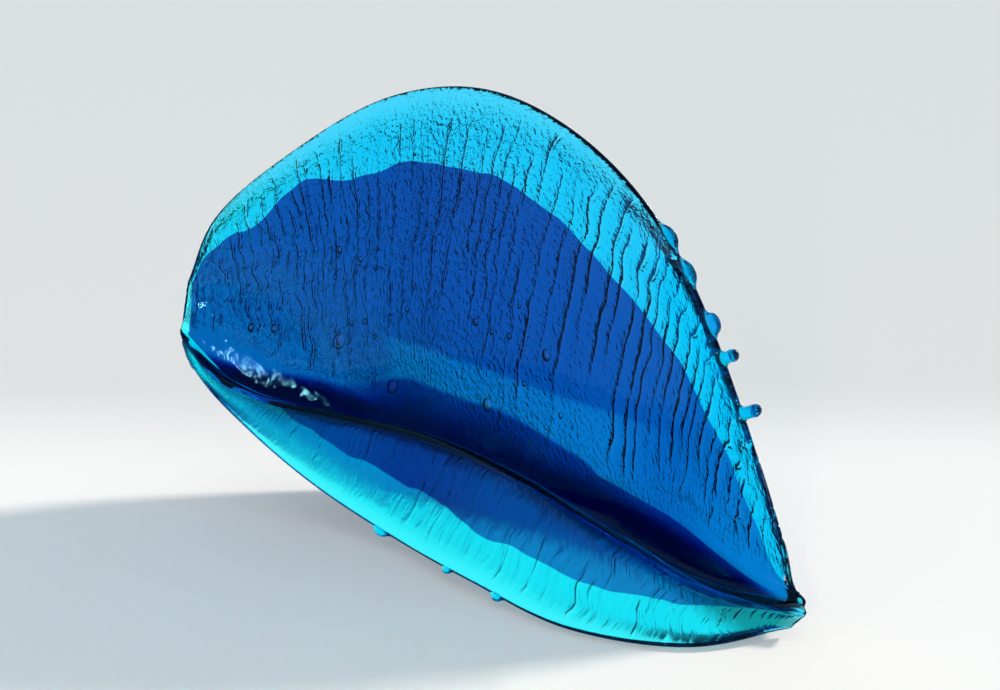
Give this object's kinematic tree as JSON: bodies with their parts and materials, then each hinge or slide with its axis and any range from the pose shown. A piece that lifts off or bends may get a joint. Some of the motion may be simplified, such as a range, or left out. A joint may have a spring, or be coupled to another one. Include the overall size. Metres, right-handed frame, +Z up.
{
  "type": "glass fish ornament",
  "caption": "Free-standing ornament of folded, fused glass: a turquoise sheet with a cobalt sheet on its inner face, and glass drops and rod stubs along its rims.",
  "frame": {"origin": "middle of the flat ground on the keel, which the ornament stands on", "axes": "+X from the raised tip to the low tip, +Y from the lip to the back flap, +Z up"},
  "size_m": [0.4847, 0.1462, 0.2929],
  "materials": {
    "turquoise_glass": "fire polished, with chill wrinkles",
    "cobalt_glass": "fire polished, glossy",
    "rod_glass": "fire polished, glossy"
  },
  "bodies": {
    "root": {"base_sheet": "turquoise_glass", "overlay_sheet": "cobalt_glass", "fin_spine_1": "rod_glass", "fin_spine_2": "rod_glass", "fin_spine_3": "rod_glass", "fin_spine_4": "rod_glass", "fin_spine_5": "rod_glass", "rim_bead_1": "rod_glass", "rim_bead_2": "rod_glass", "rim_knob": "rod_glass"}
  },
  "joints": []
}
